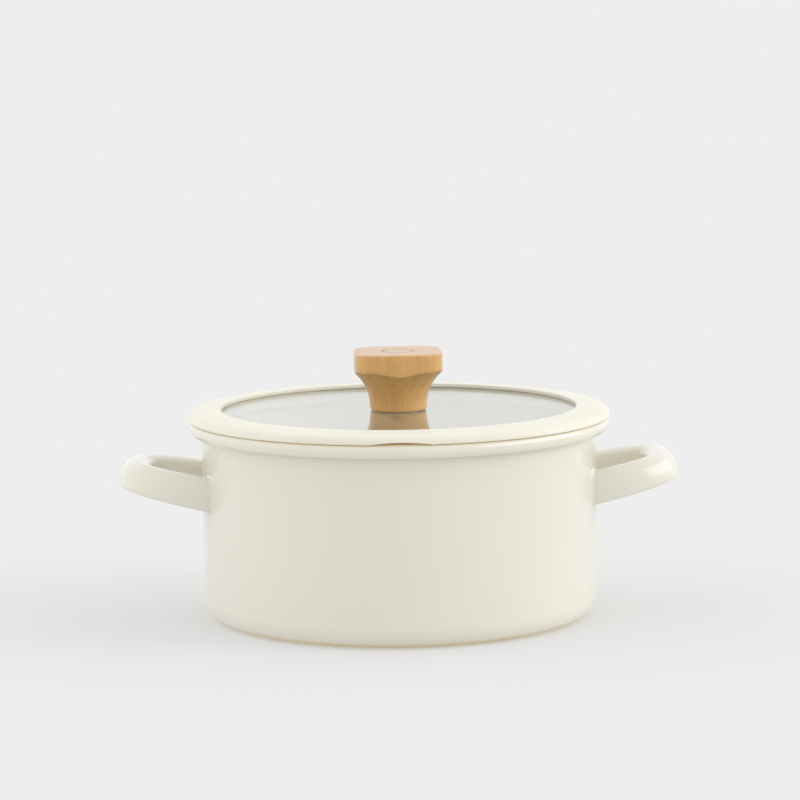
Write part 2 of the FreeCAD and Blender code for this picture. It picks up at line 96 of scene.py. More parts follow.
# Lid.
RING_BASE = POT_HIGH.z - 0.7 * MM
UNDER_GLASS = 1.6 * MM           # thickness of the ring's lip under the glass
LIP = 1.5 * MM                   # upright inner face of the ring above the glass
LIP_ROUND = 0.7 * MM
CROWN_RUN, CROWN_DROP = 13.2 * MM, 1.3 * MM   # width of the domed top, and its fall outwards
RING_INNER = 90.75 * MM
RING_SIDE = 3.7 * MM             # radius of the ring's outer side
RING_EDGE = 0.4 * MM
SEAT_START, SEAT_END = 50, 150   # where the seat lies round the rolled rim, degrees
SKIRT_TOP_ROUND, INNER_ROUND = 0.8 * MM, 0.9 * MM   # roundings beside the seat and under the lip
GROOVE_ROUND, GROOVE_LIP_ROUND = 0.3 * MM, 0.25 * MM   # roundings in the groove for the glass
SEAT_GAP = 0.35 * MM             # room between ring and rolled rim
SKIRT_GAP = 0.4 * MM             # room between skirt and wall
SKIRT = 2.4 * MM
UNDER_LIP = 92.2 * MM            # inner edge of the lip under the glass
VENT_WIDTH, VENT_HEIGHT = 31 * MM, 1.2 * MM   # steam arch
VENT_TURN = math.radians(-2)     # off the front
GLASS_HOLE = 5.2 * MM
GLASS_EASE = 0.02 * MM           # air between glass and silicone
PENCIL = 1.2 * MM                # rounding of the glass rim

# Knob.
KNOB_FOOT = 14.2 * MM            # radius at the glass
FOOT_ROUND = 0.6 * MM
KNOB_NECK = 14.5 * MM            # radius where the cove starts
COVE_LOW = KNOB_LOW.z + 1.7 * MM   # height at which it does so
COVE = 23 * MM                   # radius of the cove
LEDGE_BLEND = 1.5 * MM           # how softly the cove turns into the level ledge
LEDGE = KNOB_HIGH.z - 9.45 * MM  # lower face of the head
HEAD_HALF, HEAD_CORNER = 22.1 * MM, 12 * MM   # half width, and radius of the upright corners
HEAD_EDGE, LEDGE_EDGE = 0.8 * MM, 0.35 * MM   # roundings of the head's upper and lower edges
HEAD_TURN = math.radians(0.5)    # of the head, off square to the handles
INSERT_BORE, INSERT_DEPTH = 4 * MM, 14 * MM   # hole for the brass insert
MARK_RADIUS, MARK_WIDTH = 8 * MM, 0.9 * MM   # plain ring burnt into the knob's top
MARK_DEPTH = 0.2 * MM

# Fineness of the meshes.
ARC_STEP = 9                     # degrees in one step of a rounded corner
AROUND = 288                     # steps round a turned piece
OUTLINE_STEPS, LEG_STEPS = 1441, 60   # along a handle's outline, and along each hidden leg
STATIONS, KEPT_STATIONS = 600, 150    # sections of a handle before and after it is trimmed
HALVINGS = 24                    # of the range in which a fillet's swelling is sought


# Outlines are lists of (radius, height).

def arc(centre, radius, start, end, steps):
    """Points on an arc, from start to end in degrees."""
    angles = np.radians(np.linspace(start, end, steps + 1))
    return [(centre[0] + radius * math.cos(a), centre[1] + radius * math.sin(a)) for a in angles]


def rounded(corners, closed=False):
    """A polyline whose corners (radius, height, rounding) are replaced by tangent arcs.

    A point beyond each end of an arc keeps the shading of the straight parts straight.
    """
    points = []
    count = len(corners)
    for index, (x, z, size) in enumerate(corners):
        if not size or (not closed and index in (0, count - 1)):
            points.append((x, z))
            continue
        here = np.array((x, z))
        before = np.array(corners[index - 1][:2]) - here
        after = np.array(corners[(index + 1) % count][:2]) - here
        room = min(np.linalg.norm(before), np.linalg.norm(after))
        before, after = before / np.linalg.norm(before), after / np.linalg.norm(after)
        half = math.acos(np.clip(before @ after, -1, 1)) / 2
        run = min(size / math.tan(half), 0.49 * room)
        radius = run * math.tan(half)
        middle = here + (before + after) / np.linalg.norm(before + after) * radius / math.sin(half)
        first, last = here + before * run - middle, here + after * run - middle
        start = math.atan2(first[1], first[0])
        turn = (math.atan2(last[1], last[0]) - start + math.pi) % (2 * math.pi) - math.pi
        steps = max(3, round(abs(math.degrees(turn)) / ARC_STEP))
        beyond = min(1.3 * run, 0.5 * room)
        points.append(tuple(here + before * beyond))
        points += arc(middle, radius, math.degrees(start), math.degrees(start + turn), steps)
        points.append(tuple(here + after * beyond))
    return points


def mesh_from_rows(name, rows, closed_rows=True, closed_across=True):
    """A quad mesh through rows of points, welded where points meet."""
    rows = np.asarray(rows, float)
    count, across = rows.shape[:2]
    mesh = bpy.data.meshes.new(name)
    made = bmesh.new()
    verts = [[made.verts.new(point) for point in row] for row in rows]
    for i in range(count if closed_rows else count - 1):
        one, two = verts[i], verts[(i + 1) % count]
        for k in range(across if closed_across else across - 1):
            after = (k + 1) % across
            made.faces.new((one[k], one[after], two[after], two[k]))
    bmesh.ops.remove_doubles(made, verts=made.verts, dist=1e-7)
    bmesh.ops.recalc_face_normals(made, faces=made.faces)
    made.to_mesh(mesh)
    made.free()
    return mesh


def close_ends(mesh):
    """Fills the open ends of a tube-like mesh."""
    made = bmesh.new()
    made.from_mesh(mesh)
    caps = bmesh.ops.holes_fill(made, edges=made.edges)["faces"]
    bmesh.ops.triangulate(made, faces=caps, ngon_method="EAR_CLIP")
    bmesh.ops.recalc_face_normals(made, faces=made.faces)
    made.to_mesh(mesh)
    made.free()
    return mesh


def lathe(name, outline, closed):
    """A mesh turned about Z. An outline that isn't closed starts and ends on the axis."""
    rows = [[(r * math.cos(a), r * math.sin(a), z) for r, z in outline]
            for a in np.linspace(0, 2 * math.pi, AROUND, endpoint=False)]
    return mesh_from_rows(name, rows, closed_across=closed)


def smooth(mesh, crease=38):
    """Shades a mesh smooth, except over creases sharper than this many degrees."""
    mesh.polygons.foreach_set("use_smooth", [True] * len(mesh.polygons))
    mesh.set_sharp_from_angle(angle=math.radians(crease))
    return mesh


def add_piece(name, mesh, body, material, node):
    """A piece that rides on a body and stands for a node."""
    piece = bpy.data.objects.new(name, smooth(mesh))
    bpy.context.scene.collection.objects.link(piece)
    mesh.materials.append(material)
    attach(piece, body)
    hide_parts(node)
    return piece


# Materials.

def link(tree, socket, value):
    """Sets a socket to a plain value, or links it to another node's output."""
    if isinstance(value, bpy.types.NodeSocket):
        tree.links.new(value, socket)
    else:
        socket.default_value = value


def node(tree, kind, inputs=None, **settings):
    """A node with its settings and inputs."""
    made = tree.nodes.new("ShaderNode" + kind)
    for name, value in settings.items():
        setattr(made, name, value)
    for name, value in (inputs or {}).items():
        link(tree, made.inputs[name], value)
    return made


def principled(name, values):
    """A Principled material, its node tree and its shader."""
    material = bpy.data.materials.new(name)
    material.use_nodes = True
    tree = material.node_tree
    shader = tree.nodes["Principled BSDF"]
    for socket, value in values.items():
        shader.inputs[socket].default_value = value
    return material, tree, shader


def places(tree, stretch=(1, 1, 1), shift=(0, 0, 0)):
    """The object's own coordinates in metres, stretched and shifted."""
    source = node(tree, "TexCoord").outputs["Object"]
    return node(tree, "Mapping", {"Vector": source, "Scale": stretch, "Location": shift}).outputs[0]


def noise(tree, scale, detail=2.0, stretch=(1, 1, 1), rough=0.5, shift=(0, 0, 0)):
    """Noise of about this many patches a metre."""
    return node(tree, "TexNoise", {"Vector": places(tree, stretch, shift), "Scale": scale,
                                   "Detail": detail, "Roughness": rough}).outputs["Fac"]


def spread(tree, value, low, high, to_low=0.0, to_high=1.0):
    """Maps a range of values to another, and clamps it."""
    return node(tree, "MapRange", {"Value": value, "From Min": low, "From Max": high,
                                   "To Min": to_low, "To Max": to_high}).outputs[0]


def mixed(tree, share, one, two, how="MIX"):
    """A mix of two colours."""
    made = node(tree, "Mix", data_type="RGBA", blend_type=how)
    for index, value in ((0, share), (6, one), (7, two)):
        link(tree, made.inputs[index], value)
    return made.outputs[2]


def maths(tree, how, one, two=0.0):
    """The result of a Math node on one or two values."""
    made = node(tree, "Math", operation=how)
    link(tree, made.inputs[0], one)
    link(tree, made.inputs[1], two)
    return made.outputs[0]


def bump(tree, shader, layers):
    """Chains bumps (height, strength, depth) into the shader's normal."""
    normal = None
    for height, strength, depth in layers:
        inputs = {"Height": height, "Strength": strength, "Distance": depth}
        if normal is not None:
            inputs["Normal"] = normal
        normal = node(tree, "Bump", inputs).outputs[0]
    link(tree, shader.inputs["Normal"], normal)


def crevice_shade(tree, depth=4 * MM):
    """How far a point lies in a narrow gap, from 0 to 1: the mask for painted shade."""
    open_share = node(tree, "AmbientOcclusion", {"Distance": depth}, samples=6).outputs["AO"]
    return spread(tree, open_share, 0.10, 0.75, 1.0, 0.0)


def make_enamel():
    """Glossy vitreous enamel: slow waves, faint tone changes, a few fine specks, and painted warm
    shade in crevices.
    """
    material, tree, shader = principled("vitreous_enamel", {
        "IOR": 1.52, "Coat Weight": 0.7, "Coat Roughness": 0.03, "Coat IOR": 1.5})
    tone = spread(tree, noise(tree, 16, 3), 0.35, 0.65)
    cream = mixed(tree, tone, (0.778, 0.747, 0.652, 1), (0.793, 0.760, 0.658, 1))
    cells = node(tree, "TexVoronoi", {"Vector": places(tree), "Scale": 240.0, "Randomness": 1.0})
    speck = spread(tree, cells.outputs["Distance"], 0.035, 0.06, 1.0, 0.0)
    picked = maths(tree, "GREATER_THAN", noise(tree, 55, 1, shift=(3, 1, 2)), 0.62)
    shows = maths(tree, "MULTIPLY", maths(tree, "MULTIPLY", speck, picked), 0.35)
    speckled = mixed(tree, shows, cream, (0.42, 0.37, 0.27, 1))
    # painted shade: crevices, such as under the rim and where the handles meet the wall, are tinted
    # warm gold in place of light bounced between cream surfaces
    link(tree, shader.inputs["Base Color"],
         mixed(tree, maths(tree, "MULTIPLY", crevice_shade(tree), 0.85), speckled, (0.78, 0.57, 0.15, 1)))
    link(tree, shader.inputs["Roughness"], spread(tree, noise(tree, 40, 3), 0.3, 0.7, 0.10, 0.17))
    bump(tree, shader, [(noise(tree, 95, 1.5), 0.10, 0.5 * MM),
                        (noise(tree, 420, 1), 0.05, 0.08 * MM),
                        (speck, 0.04, 0.05 * MM)])
    return material


def make_silicone():
    """Satin food-grade silicone, very finely textured by its mould, with painted warm shade in its
    downward-facing crevices.
    """
    material, tree, shader = principled("silicone_ring", {
        "IOR": 1.42, "Subsurface Weight": 0.35, "Subsurface Radius": (1.0, 0.9, 0.6),
        "Subsurface Scale": 3 * MM})
    tone = spread(tree, noise(tree, 22, 3), 0.35, 0.65)
    milky = mixed(tree, tone, (0.812, 0.787, 0.680, 1), (0.828, 0.803, 0.697, 1))
    upward = node(tree, "SeparateXYZ", {"Vector": node(tree, "TexCoord").outputs["Normal"]}).outputs[2]
    # painted shade: crevices that face down, such as the gap over the rolled rim, are tinted warm gold
    under = maths(tree, "MULTIPLY", crevice_shade(tree), spread(tree, upward, -0.4, 0.0, 0.85, 0.0))
    link(tree, shader.inputs["Base Color"], mixed(tree, under, milky, (0.80, 0.60, 0.16, 1)))
    link(tree, shader.inputs["Roughness"], spread(tree, noise(tree, 300, 3), 0.3, 0.7, 0.38, 0.5))
    bump(tree, shader, [(noise(tree, 1500, 2), 0.12, 0.05 * MM),
                        (noise(tree, 60, 1), 0.05, 0.3 * MM)])
    return material


def make_glass():
    """Clear tempered glass with the faint waves of toughening. Lamps light what lies under it."""
    material, tree, shader = principled("tempered_glass", {
        "Roughness": 0.0, "Transmission Weight": 1.0, "IOR": 1.5})
    link(tree, shader.inputs["Base Color"],
         mixed(tree, spread(tree, noise(tree, 12, 2), 0.35, 0.65),
               (0.960, 0.982, 0.966, 1), (0.975, 0.990, 0.978, 1)))
    bump(tree, shader, [(noise(tree, 18, 1), 0.02, 0.2 * MM)])
    shadow = node(tree, "LightPath").outputs["Is Shadow Ray"]
    clear = node(tree, "BsdfTransparent", {"Color": (0.97, 0.98, 0.97, 1)})
    mix = node(tree, "MixShader", {0: shadow, 1: shader.outputs[0], 2: clear.outputs[0]})
    tree.links.new(mix.outputs[0], tree.nodes["Material Output"].inputs["Surface"])
    return material


def make_beech():
    """Oiled beech: straight upright grain, short dark flecks, and a duller tone on the end grain."""
    material, tree, shader = principled("oiled_beech", {
        "IOR": 1.48, "Coat Weight": 0.6, "Coat Roughness": 0.25})
    at = node(tree, "SeparateXYZ", {"Vector": places(tree)}).outputs
    broad = spread(tree, noise(tree, 55, 3, stretch=(1, 1, 0.10)), 0.32, 0.68)
    base = mixed(tree, broad, (0.665, 0.362, 0.104, 1), (0.775, 0.442, 0.144, 1))
    fine = spread(tree, noise(tree, 520, 3, stretch=(1, 1, 0.035), rough=0.6), 0.3, 0.7)
    base = mixed(tree, 1.0, base, mixed(tree, fine, (0.90, 0.87, 0.80, 1), (1.05, 1.05, 1.05, 1)),
                 "MULTIPLY")
    upward = node(tree, "SeparateXYZ", {"Vector": node(tree, "TexCoord").outputs["Normal"]}).outputs[2]
    end_grain = maths(tree, "MULTIPLY", spread(tree, upward, 0.8, 0.95), 0.5)
    base = mixed(tree, end_grain, base, (0.50, 0.35, 0.26, 1))
    seldom = spread(tree, noise(tree, 130, 2, stretch=(1, 1, 0.12), shift=(2, 7, 1)), 0.52, 0.62)
    thin = noise(tree, 620, 1, stretch=(1, 1, 0.035), shift=(1, 4, 0))
    streak = maths(tree, "MULTIPLY", seldom, spread(tree, thin, 0.57, 0.66))
    fleck = spread(tree, noise(tree, 1300, 1, stretch=(1, 1, 0.14), shift=(5, 2, 0)), 0.69, 0.77)
    grained = mixed(tree, maths(tree, "MULTIPLY", streak, 0.5), base, (0.38, 0.175, 0.05, 1))
    flecked = mixed(tree, maths(tree, "MULTIPLY", fleck, 0.35), grained, (0.27, 0.12, 0.035, 1))
    # the plain ring burnt into the top
    off_axis = node(tree, "VectorMath", {
        0: node(tree, "CombineXYZ", {"X": at[0], "Y": at[1]}).outputs[0]},
        operation="LENGTH").outputs["Value"]
    off_ring = maths(tree, "ABSOLUTE", maths(tree, "SUBTRACT", off_axis, MARK_RADIUS))
    burnt = maths(tree, "MULTIPLY",
                  spread(tree, off_ring, 0.45 * MARK_WIDTH, 0.70 * MARK_WIDTH, 0.9, 0.0),
                  maths(tree, "GREATER_THAN", at[2], KNOB_HIGH.z - 2 * MARK_DEPTH))
    link(tree, shader.inputs["Base Color"], mixed(tree, burnt, flecked, (0.09, 0.045, 0.02, 1)))
    link(tree, shader.inputs["Roughness"], spread(tree, streak, 0, 1, 0.42, 0.55))
    bump(tree, shader, [(streak, -0.10, 0.06 * MM), (fleck, -0.2, 0.06 * MM)])
    return material


def make_metal(name, colour, rough, lines):
    """Turned bright metal with fine tool lines round the axis."""
    material, tree, shader = principled(name, {"Metallic": 1.0})
    tone = spread(tree, noise(tree, 400, 3), 0.3, 0.7)
    darker = tuple(0.8 * part for part in colour)
    link(tree, shader.inputs["Base Color"], mixed(tree, tone, darker + (1,), colour + (1,)))
    link(tree, shader.inputs["Roughness"], spread(tree, noise(tree, 900, 2), 0.3, 0.7,
                                                  rough, rough + 0.12))
    turned = node(tree, "TexWave", {"Vector": places(tree), "Scale": lines, "Distortion": 0.6},
                  wave_type="RINGS", rings_direction="Z").outputs["Fac"]
    bump(tree, shader, [(turned, 0.15, 0.02 * MM)])
    return material


def make_seal():
    """Milky silicone of the washer pieces."""
    material, tree, shader = principled("milky_silicone", {
        "IOR": 1.42, "Subsurface Weight": 0.3, "Subsurface Radius": (1.0, 1.0, 0.9),
        "Subsurface Scale": 1.0 * MM})
    link(tree, shader.inputs["Base Color"],
         mixed(tree, spread(tree, noise(tree, 260, 3), 0.35, 0.65),
               (0.70, 0.65, 0.54, 1), (0.78, 0.73, 0.62, 1)))
    link(tree, shader.inputs["Roughness"], spread(tree, noise(tree, 700, 2), 0.3, 0.7, 0.4, 0.55))
    bump(tree, shader, [(noise(tree, 2200, 2), 0.1, 0.03 * MM)])
    return material


# Pieces.

def flare(height, inset):
    """Radius of the wall at a height, this far in from its outer face."""
    rise = max(0.0, (height - (CURL_Z - SWAGE_HEIGHT)) / SWAGE_HEIGHT)
    return WALL - inset + SWAGE * rise ** 2


def make_shell(enamel):
    """The drawn shell with its raised base, rounded corner, flare and rolled rim."""
    roll = (CURL_R, CURL_Z)
    flare_heights = np.linspace(CURL_Z - SWAGE_HEIGHT, CURL_Z, 9)
    # points halfway along the flat parts keep their shading flat
    outside = rounded([(0, DISH, 0), (0.5 * FOOT_INNER, DISH, 0),
                       (FOOT_INNER - DISH_RUN, DISH, BASE_ROUND), (FOOT_INNER, 0, BASE_ROUND),
                       (WALL, 0, CORNER), (WALL, 3 * CORNER, 0)])
    outside += [(flare(z, 0), z) for z in np.linspace(4 * CORNER, CURL_Z - SWAGE_HEIGHT, 3)[:-1]]
    outside += [(flare(z, 0), z) for z in flare_heights]
    rolled = arc(roll, CURL - SHEET, 180, CURL_END, 30)[1:] + arc(roll, CURL, CURL_END, 180, 44)
    inside = [(flare(z, SHEET), z) for z in flare_heights[::-1]][1:]
    inside += rounded([(WALL - SHEET, 4 * CORNER, 0), (WALL - SHEET, SHEET, CORNER - SHEET),
                       (FOOT_INNER, SHEET, BASE_ROUND),
                       (FOOT_INNER - DISH_RUN, SHEET + DISH, BASE_ROUND),
                       (0.5 * FOOT_INNER, SHEET + DISH, 0), (0, SHEET + DISH, 0)])
    mesh = lathe("pot_shell", outside + rolled + inside, closed=False)
    return add_piece("pot_shell", mesh, "pot", enamel, "pot_body")


def channel_section(ridge):
    """The handle's section at full size: the outside of the pressing, as (inward, up)."""
    width, height = TIP_WIDTH, ROOT_HEIGHT
    peak = ridge * width                      # from the finger side to the highest line
    over, up = width - peak, height - LOWER_CURL - LOWER_FLAT
    low = [(LOWER_CURL * (1 - math.cos(a)), LOWER_CURL * (1 + math.sin(a)))
           for a in np.radians(np.linspace(-90, 0, 7))]
    shoulder = [(over - over * math.cos(a) ** (2 / SHOULDER_SQUARENESS),
                 height - up + up * math.sin(a) ** (2 / SHOULDER_SQUARENESS))
                for a in np.radians(np.linspace(0, 90, 17))]
    drop = min(peak, FINGER_ROUND)
    finger = [(over + peak * math.sin(a), height - drop + drop * math.cos(a))
              for a in np.radians(np.linspace(0, 90, 9))][1:]
    side = [(width, z) for z in np.linspace(height - drop, FINGER_EDGE, 5)[1:]]
    return np.array(low + shoulder + finger + side)


def thickened(outside, sheet):
    """A closed section: the outside, and the inside one sheet away, joined by round edges."""
    along = np.gradient(outside, axis=0)
    along /= np.linalg.norm(along, axis=1)[:, None]
    inward = np.stack([along[:, 1], -along[:, 0]], axis=1)
    inside = outside + inward * sheet
    turns, half = np.radians((36, 72, 108, 144)), sheet / 2
    edges = []
    for end, sign in ((-1, 1), (0, -1)):
        middle = (outside[end] + inside[end]) / 2
        edges.append([middle - math.cos(turn) * half * inward[end]
                      + sign * math.sin(turn) * half * along[end] for turn in turns[::sign]])
    return np.concatenate([outside, edges[0], inside[::-1], edges[1]])


def loop_plan(count):
    """Evenly spaced points and inward directions along the loop's outer outline."""
    turn = np.radians(np.linspace(-90, 90, OUTLINE_STEPS))
    power = 2 / LOOP_SQUARENESS
    x = LOOP_CENTRE + (HANDLE_REACH - LOOP_CENTRE) * np.clip(np.cos(turn), 0, 1) ** power
    y = LOOP_HALF * np.sign(turn) * np.abs(np.sin(turn)) ** power
    legs = np.linspace(2 * LOOP_CENTRE, LOOP_CENTRE, LEG_STEPS, endpoint=False)
    x = np.concatenate([legs, x, legs[::-1]])
    y = np.concatenate([np.full(LEG_STEPS, -LOOP_HALF), y, np.full(LEG_STEPS, LOOP_HALF)])
    walked = np.concatenate([[0], np.cumsum(np.hypot(np.diff(x), np.diff(y)))])
    even = np.linspace(0, walked[-1], count)
    plan = np.stack([np.interp(even, walked, x), np.interp(even, walked, y)], axis=1)
    along = np.gradient(plan, axis=0)
    along /= np.linalg.norm(along, axis=1)[:, None]
    return plan, np.stack([-along[:, 1], along[:, 0]], axis=1)


def handle_rows():
    """The right-hand handle, as rows of section points that run on into the pot."""
    plan, inward = loop_plan(STATIONS)
    rows = []
    for (x, y), (nx, ny) in zip(plan, inward):
        share = float(np.clip((HANDLE_REACH - x) / HANDLE_REACH, 0, 1.2))
        ridge = TIP_RIDGE + (ROOT_RIDGE - TIP_RIDGE) * min(share, 1)
        wide = 1 + (ROOT_WIDTH / TIP_WIDTH - 1) * share
        high = TIP_SHARE + (1 - TIP_SHARE) * share
        outside = channel_section(ridge) * (wide, high)
        section = thickened(outside, HANDLE_SHEET)
        rows.append([(x + nx * u, y + ny * u, v) for u, v in section])
    level = np.array(rows)
    x, y, z = level[..., 0], level[..., 1], level[..., 2]
    return np.stack([WALL + x * math.cos(HANDLE_TILT) - z * math.sin(HANDLE_TILT), y,
                     HANDLE_FOOT + x * math.sin(HANDLE_TILT) + z * math.cos(HANDLE_TILT)], axis=-1)


def filleted(rows):
    """Swells the rows near the wall into a round fillet, as enamel fills the corner."""
    along = np.gradient(rows, axis=0)
    across = np.roll(rows, -1, axis=1) - np.roll(rows, 1, axis=1)
    outward = np.cross(along, across)
    outward /= np.linalg.norm(outward, axis=-1, keepdims=True)
    # halves the range of the swelling until the swollen point lies on the fillet's arc
    least, most = np.zeros(rows.shape[:2]), np.full(rows.shape[:2], ENAMEL_FILLET)
    for _ in range(HALVINGS):
        swell = (least + most) / 2
        swollen = rows + outward * swell[..., None]
        gap = np.clip(np.hypot(swollen[..., 0], swollen[..., 1]) - WALL, 0, ENAMEL_FILLET)
        arc_height = ENAMEL_FILLET - np.sqrt(ENAMEL_FILLET ** 2 - (ENAMEL_FILLET - gap) ** 2)
        least = np.where(swell < arc_height, swell, least)
        most = np.where(swell < arc_height, most, swell)
    return swollen


def trimmed(rows):
    """The rows cut off inside the wall's sheet, and spaced closer together near it."""
    hidden = WALL - 0.5 * SHEET
    step = np.arange(len(rows), dtype=float)
    share = 0.5 - 0.5 * np.cos(np.linspace(0, math.pi, KEPT_STATIONS))
    result = np.empty((KEPT_STATIONS,) + rows.shape[1:])
    for k in range(rows.shape[1]):
        strand = rows[:, k]
        out = np.hypot(strand[:, 0], strand[:, 1]) - hidden
        first = int(np.argmax(out > 0))
        last = len(rows) - 1 - int(np.argmax(out[::-1] > 0))
        start = first - out[first] / (out[first] - out[first - 1])
        end = last + out[last] / (out[last] - out[last + 1])
        at = start + (end - start) * share
        for axis in range(3):
            result[:, k, axis] = np.interp(at, step, strand[:, axis])
    return result


def make_handle(name, side, enamel):
    """A pressed loop handle, open below, melted to the wall by its enamel."""
    rows = trimmed(filleted(handle_rows()))
    if side < 0:
        rows = rows * (-1, 1, 1)
    mesh = close_ends(mesh_from_rows(name, rows, closed_rows=False))
    return add_piece(name, mesh, "pot", enamel, name.replace("_loop", ""))


def make_ring(silicone):
    """The silicone ring: domed lip, seat on the rim, lip under the glass, skirt and steam arch."""
    glass_top, glass_bottom = GLASS_HIGH.z, GLASS_LOW.z
    crest = glass_top + LIP + LIP_ROUND
    crown_start = RING_INNER + LIP_ROUND
    crown = (CROWN_RUN ** 2 + CROWN_DROP ** 2) / (2 * CROWN_DROP)
    top = [(crown_start + x, crest - crown + math.sqrt(crown ** 2 - x ** 2))
           for x in np.linspace(0, CROWN_RUN, 15)]
    # the side is an arc from the end of the crown to the lower edge
    side_top, side_low = np.array(top[-1]), np.array((RING_HIGH.x, RING_BASE + RING_EDGE))
    middle, chord = (side_top + side_low) / 2, side_low - side_top
    length = np.linalg.norm(chord)
    bow = math.sqrt(RING_SIDE ** 2 - (length / 2) ** 2)
    centre = middle + np.array((chord[1], -chord[0])) / length * bow
    begin, finish = [math.degrees(math.atan2(*(end - centre)[::-1])) for end in (side_top, side_low)]
    side = arc(centre, RING_SIDE, begin, finish, 14)[1:]
    edge = arc((RING_HIGH.x - RING_EDGE, RING_BASE + RING_EDGE), RING_EDGE, 0, -90, 5)[1:]
    seat = arc((CURL_R, CURL_Z), CURL + SEAT_GAP, SEAT_START, SEAT_END, 24)
    skirt_out = WALL - SHEET - SKIRT_GAP
    skirt_low = RING_LOW.z
    skirt_in = skirt_out - SKIRT
    under = rounded([seat[-1] + (0,), (skirt_out, CURL_Z + LIP_ROUND, SKIRT_TOP_ROUND),
                     (skirt_out, skirt_low, LIP_ROUND), (skirt_in, skirt_low, LIP_ROUND),
                     (skirt_in, glass_bottom - UNDER_GLASS, INNER_ROUND),
                     (UNDER_LIP, glass_bottom - UNDER_GLASS, LIP_ROUND),
                     (UNDER_LIP, glass_bottom, GROOVE_ROUND),
                     (GLASS_HIGH.x, glass_bottom, GROOVE_ROUND),
                     (GLASS_HIGH.x, glass_top, GROOVE_ROUND),
                     (RING_INNER, glass_top, GROOVE_LIP_ROUND),
                     (RING_INNER, crest - LIP_ROUND, 0)])[1:]
    lip = arc((crown_start, crest - LIP_ROUND), LIP_ROUND, 180, 90, 7)[1:-1]
    mesh = lathe("lid_ring_soft", top + side + edge + seat + under + lip, closed=True)
    ring = add_piece("lid_ring_soft", mesh, "lid", silicone, "lid_ring")
    cut_vent(ring)
    return ring


def cut_vent(ring):
    """Cuts the shallow steam arch through the ring's front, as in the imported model."""
    half = VENT_WIDTH / 2
    radius = (half ** 2 + VENT_HEIGHT ** 2) / (2 * VENT_HEIGHT)
    crown = [(x, RING_BASE + VENT_HEIGHT - radius + math.sqrt(radius ** 2 - x ** 2))
             for x in np.linspace(-half, half, 25)]
    outline = [(-half, RING_LOW.z - SKIRT)] + crown + [(half, RING_LOW.z - SKIRT)]
    turned = Matrix.Rotation(VENT_TURN, 3, "Z")
    rows = [[turned @ Vector((x, y, z)) for x, z in outline] for y in (-1.2 * WALL, -0.8 * WALL)]
    mesh = close_ends(mesh_from_rows("vent_cutter", rows, closed_rows=False))
    cutter = bpy.data.objects.new("vent_cutter", mesh)
    bpy.context.scene.collection.objects.link(cutter)
    cut = ring.modifiers.new("steam_arch", "BOOLEAN")
    cut.object, cut.operation, cut.solver = cutter, "DIFFERENCE", "EXACT"
    bpy.context.view_layer.update()
    shaped = ring.evaluated_get(bpy.context.evaluated_depsgraph_get())
    result = bpy.data.meshes.new_from_object(shaped)
    ring.modifiers.remove(cut)
    ring.data = smooth(result)
    bpy.data.objects.remove(cutter)


def make_lid_glass(glass):
    """The flat disc with its centre hole and ground edges."""
    low, high = GLASS_LOW.z + GLASS_EASE, GLASS_HIGH.z - GLASS_EASE
    edge = GLASS_HIGH.x - GLASS_EASE
    outline = rounded([(GLASS_HOLE, low, PENCIL), (edge, low, PENCIL), (edge, high, PENCIL),
                       (GLASS_HOLE, high, PENCIL)], closed=True)
    mesh = lathe("lid_glass_disc", outline, closed=True)
    return add_piece("lid_glass_disc", mesh, "lid", glass, "lid_glass")


def head_radius(angle):
    """Distance from the axis to the squared head's side in a direction."""
    folded = abs((angle + math.pi / 4) % (math.pi / 2) - math.pi / 4)
    flat = HEAD_HALF / math.cos(folded)
    if flat * math.sin(folded) <= HEAD_HALF - HEAD_CORNER:
        return flat
    inner = HEAD_HALF - HEAD_CORNER
    ahead = inner * (math.cos(folded) + math.sin(folded))
    return ahead + math.sqrt(ahead ** 2 - 2 * inner ** 2 + HEAD_CORNER ** 2)


def lesser(one, two, blend):
    """The lesser of two lengths, rounded off where they are close."""
    near = max(blend - abs(one - two), 0.0)
    return min(one, two) - near ** 2 / (4 * blend)


def cove_radius(height):
    """Radius of the cove at a height above its start."""
    return KNOB_NECK + COVE - math.sqrt(COVE ** 2 - height ** 2)


def knob_column(side):
    """The knob's profile in a direction in which the head's side is this far out."""
    foot, top, cove_top = KNOB_LOW.z, KNOB_HIGH.z, LEDGE - COVE_LOW
    column = [(0, foot + INSERT_DEPTH), (INSERT_BORE, foot + INSERT_DEPTH), (INSERT_BORE, foot)]
    column += rounded([(INSERT_BORE, foot, 0), (KNOB_FOOT, foot, FOOT_ROUND),
                       (KNOB_NECK, COVE_LOW, 0)])[1:]
    # the cove ends at the head's side, or at a level ledge where the side is further out
    meets = math.sqrt(COVE ** 2 - max(KNOB_NECK + COVE - side, 0) ** 2)
    rise = lesser(meets, cove_top, LEDGE_BLEND)
    column += [(cove_radius(height), COVE_LOW + height)
               for height in np.linspace(0, rise - 0.4 * LEDGE_EDGE, 30)[1:]]
    start, corner = np.array(column[-1]), np.array((side, COVE_LOW + rise))
    finish = corner + (0, LEDGE_EDGE)
    column += [tuple((1 - t) ** 2 * start + 2 * t * (1 - t) * corner + t * t * finish)
               for t in (0.2, 0.4, 0.6, 0.8)]
    column += [(side, z) for z in np.linspace(finish[1], top - HEAD_EDGE, 8)]
    column += [(side + HEAD_EDGE * (math.cos(a) - 1), top + HEAD_EDGE * (math.sin(a) - 1))
               for a in np.radians(np.linspace(0, 90, 7))][1:]
    # the burnt ring is a shallow groove: steps are in half widths, drops in depths
    half = MARK_WIDTH / 2
    column += [(1.9 * MARK_RADIUS, top), (1.4 * MARK_RADIUS, top)]
    column += [(MARK_RADIUS + half * step, top - drop * MARK_DEPTH)
               for step, drop in ((2, 0), (1.2, 0), (0.5, 1), (-0.5, 1), (-1.2, 0), (-2, 0))]
    return column + [(0.5 * MARK_RADIUS, top), (0, top)]


